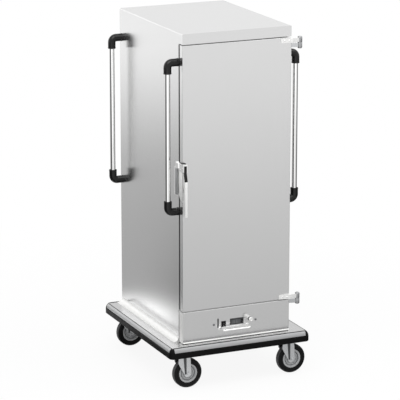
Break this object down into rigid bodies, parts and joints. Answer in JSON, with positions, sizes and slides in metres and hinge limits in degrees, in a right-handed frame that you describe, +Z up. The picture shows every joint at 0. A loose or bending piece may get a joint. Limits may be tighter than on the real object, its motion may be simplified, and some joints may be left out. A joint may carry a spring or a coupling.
{
  "type": "heated banquet trolley",
  "caption": "Tall insulated stainless food trolley on swivel casters, with a hinged door, upright push handles, a wrap-round bumper and a slide-out air heater drawer.",
  "frame": {"origin": "centre of the bumper's footprint, on the floor under the wheels", "axes": "+Z up, -Y out of the front where the door is, +X to the right seen from the front, where the hinges are"},
  "size_m": [0.81, 0.93, 1.89],
  "materials": {
    "brushed_stainless": "brushed stainless sheet",
    "painted_frame": "grey painted steel",
    "black_rubber": "matte black rubber",
    "grey_cover_strip": "satin grey extrusion",
    "mineral_wool": "pressed mineral wool slab",
    "polished_steel": "polished steel",
    "black_plastic": "glossy black moulding",
    "dark_window": "dark display window",
    "zinc_steel": "bright zinc plated steel",
    "grey_wheel_core": "moulded grey plastic",
    "grey_tyre": "dark grey rubber",
    "heater_tube": "heat-tinted steel tube",
    "motor_casting": "cast aluminium",
    "fan_aluminium": "bare aluminium"
  },
  "bodies": {
    "cabinet": {"base_tray": "brushed_stainless", "base_frame": "painted_frame", "bumper_rubber": "black_rubber", "bumper_inserts": "grey_cover_strip", "bumper_corners": "black_rubber", "outer_casing": "brushed_stainless", "front_header": "brushed_stainless", "back_panel": "brushed_stainless", "inner_liner": "brushed_stainless", "floor_grille": "brushed_stainless", "drawer_ceiling": "brushed_stainless", "compartment_sides": "brushed_stainless", "wall_insulation": "mineral_wool", "left_tray_rack": "brushed_stainless", "right_tray_rack": "brushed_stainless", "push_handle_tubes": "polished_steel", "push_handle_elbows": "black_plastic", "top_hinge_bracket": "polished_steel", "bottom_hinge_bracket": "polished_steel", "latch_keeper": "polished_steel", "mains_inlet": "black_plastic", "drawer_runners": "brushed_stainless", "caster_plates": "zinc_steel", "caster_bolts": "zinc_steel"},
    "door": {"door_outer_skin": "brushed_stainless", "door_inner_skin": "brushed_stainless", "door_insulation": "mineral_wool", "door_gasket": "black_rubber", "top_hinge_strap": "polished_steel", "bottom_hinge_strap": "polished_steel", "latch_housing": "polished_steel"},
    "latch_lever": {"latch_lever": "polished_steel"},
    "heater_drawer": {"drawer_front": "brushed_stainless", "drawer_chassis": "brushed_stainless", "fan_motor": "motor_casting", "heating_element": "heater_tube", "water_tray": "brushed_stainless", "pull_handle": "polished_steel", "panel_screws": "polished_steel", "controller_bezel": "black_plastic", "controller_window": "dark_window", "switch_frame": "black_plastic", "regulator_body": "black_plastic"},
    "switch_rocker": {"switch_rocker": "black_plastic"},
    "regulator_knob": {"regulator_knob": "polished_steel"},
    "fan_impeller": {"fan_impeller": "fan_aluminium"},
    "caster_front_left": {"caster_fork_front_left": "zinc_steel"},
    "wheel_front_left": {"wheel_core_front_left": "grey_wheel_core", "wheel_tyre_front_left": "grey_tyre"},
    "caster_front_right": {"caster_fork_front_right": "zinc_steel"},
    "wheel_front_right": {"wheel_core_front_right": "grey_wheel_core", "wheel_tyre_front_right": "grey_tyre"},
    "caster_rear_left": {"caster_fork_rear_left": "zinc_steel"},
    "wheel_rear_left": {"wheel_core_rear_left": "grey_wheel_core", "wheel_tyre_rear_left": "grey_tyre"},
    "caster_rear_right": {"caster_fork_rear_right": "zinc_steel"},
    "wheel_rear_right": {"wheel_core_rear_right": "grey_wheel_core", "wheel_tyre_rear_right": "grey_tyre"}
  },
  "joints": [
    {"name": "door_hinge", "type": "hinge", "parent": "cabinet", "child": "door", "pos_m": [0.355, -0.405, 1.1235], "axis": [0, 0, 1], "range_deg": [0, 235]},
    {"name": "latch_pull", "type": "hinge", "parent": "door", "child": "latch_lever", "pos_m": [-0.3002, -0.412, 1.1925], "axis": [-1, 0, 0], "range_deg": [0, 60]},
    {"name": "drawer_slide", "type": "slide", "parent": "cabinet", "child": "heater_drawer", "axis": [0, -1, 0], "range_m": [0, 0.4]},
    {"name": "switch_tip", "type": "hinge", "parent": "heater_drawer", "child": "switch_rocker", "pos_m": [-0.075, -0.398, 0.321], "axis": [-1, 0, 0], "range_deg": [0, 14]},
    {"name": "knob_turn", "type": "hinge", "parent": "heater_drawer", "child": "regulator_knob", "pos_m": [0.066, -0.423, 0.343], "axis": [0, 1, 0], "range_deg": [0, 270]},
    {"name": "fan_spin", "type": "hinge", "parent": "heater_drawer", "child": "fan_impeller", "pos_m": [0, 0.15, 0.3038], "axis": [0, 0, 1], "continuous": true},
    {"name": "swivel_front_left", "type": "hinge", "parent": "cabinet", "child": "caster_front_left", "pos_m": [-0.303, -0.39, 0.172], "axis": [0, 0, 1], "continuous": true},
    {"name": "roll_front_left", "type": "hinge", "parent": "caster_front_left", "child": "wheel_front_left", "pos_m": [-0.281, -0.39, 0.08], "axis": [0, 1, 0], "continuous": true},
    {"name": "swivel_front_right", "type": "hinge", "parent": "cabinet", "child": "caster_front_right", "pos_m": [0.303, -0.39, 0.172], "axis": [0, 0, 1], "continuous": true},
    {"name": "roll_front_right", "type": "hinge", "parent": "caster_front_right", "child": "wheel_front_right", "pos_m": [0.325, -0.39, 0.08], "axis": [0, 1, 0], "continuous": true},
    {"name": "swivel_rear_left", "type": "hinge", "parent": "cabinet", "child": "caster_rear_left", "pos_m": [-0.303, 0.39, 0.172], "axis": [0, 0, 1], "continuous": true},
    {"name": "roll_rear_left", "type": "hinge", "parent": "caster_rear_left", "child": "wheel_rear_left", "pos_m": [-0.281, 0.39, 0.08], "axis": [0, 1, 0], "continuous": true},
    {"name": "swivel_rear_right", "type": "hinge", "parent": "cabinet", "child": "caster_rear_right", "pos_m": [0.303, 0.39, 0.172], "axis": [0, 0, 1], "continuous": true},
    {"name": "roll_rear_right", "type": "hinge", "parent": "caster_rear_right", "child": "wheel_rear_right", "pos_m": [0.325, 0.39, 0.08], "axis": [0, 1, 0], "continuous": true}
  ]
}
